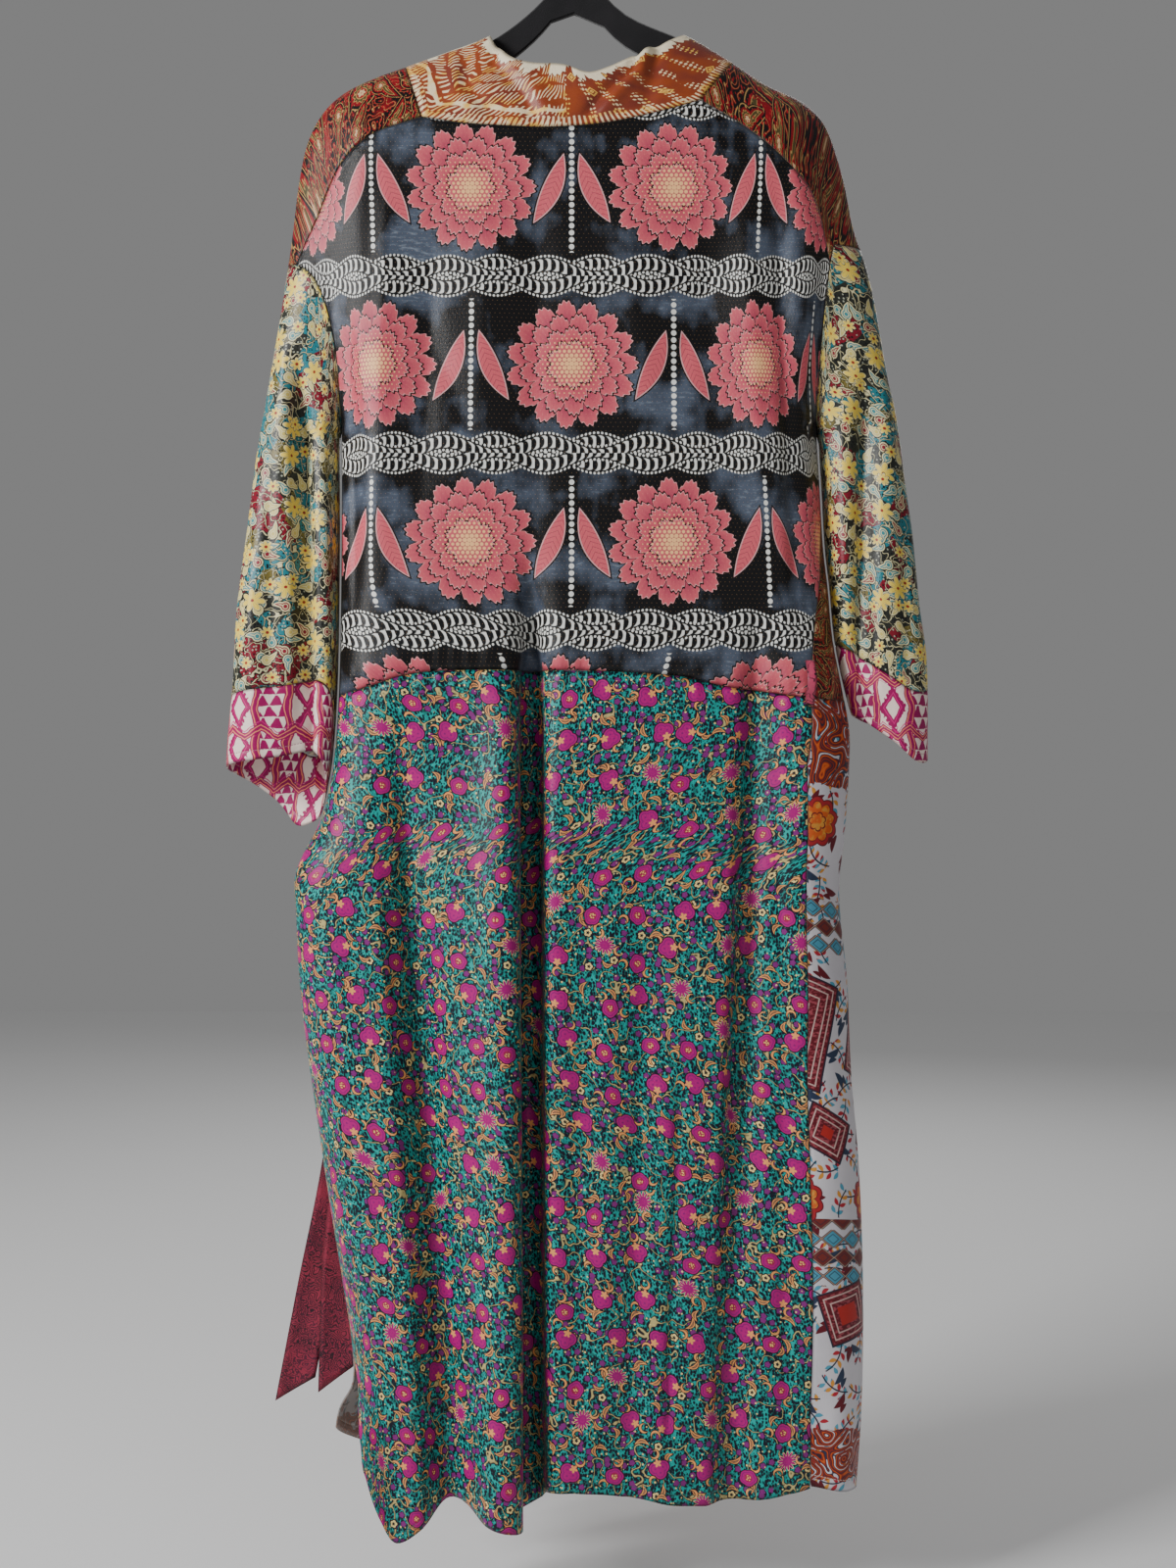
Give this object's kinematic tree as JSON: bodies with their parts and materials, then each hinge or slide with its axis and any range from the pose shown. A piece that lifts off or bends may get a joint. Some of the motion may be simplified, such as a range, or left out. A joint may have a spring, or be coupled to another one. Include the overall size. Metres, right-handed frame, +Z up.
{
  "type": "silk kimono robe on a clothes hanger",
  "caption": "Long open-fronted patchwork kimono robe with wide sleeves, cuff bands, stand-up neck band and a loose sash, hung flat on a thin flocked hanger.",
  "frame": {"origin": "where a rail bears inside the top of the hanger's hook", "axes": "+Z up; the robe's back faces -Y and its open front faces +Y; +X is to the right of someone who looks at the back, the wearer's right"},
  "size_m": [0.617, 0.1172, 1.4354],
  "materials": {
    "velvet": "matte black flock",
    "steel": "polished wire",
    "black_print": "satin crepe, printed",
    "teal_print": "satin silk, printed",
    "paisley_print": "satin silk, printed",
    "white_print": "matte silk, printed",
    "gold_print": "lustrous silk, printed",
    "magenta_print": "silk, printed",
    "rust_print": "silk, wax-resist print",
    "rose_print": "satin silk, printed",
    "pink_print": "silk, printed"
  },
  "bodies": {
    "root": {"hanger_body": "velvet", "hanger_hook": "steel", "back_upper": "black_print", "back_lower": "teal_print", "collar": "rust_print", "belt": "rose_print", "front_upper_left": "paisley_print", "front_lower_left": "white_print", "front_band_left": "rust_print", "sleeve_left": "gold_print", "cuff_left": "magenta_print", "belt_loop_left": "pink_print", "front_upper_right": "paisley_print", "front_lower_right": "white_print", "front_band_right": "rust_print", "sleeve_right": "gold_print", "cuff_right": "magenta_print", "belt_loop_right": "pink_print"}
  },
  "joints": []
}
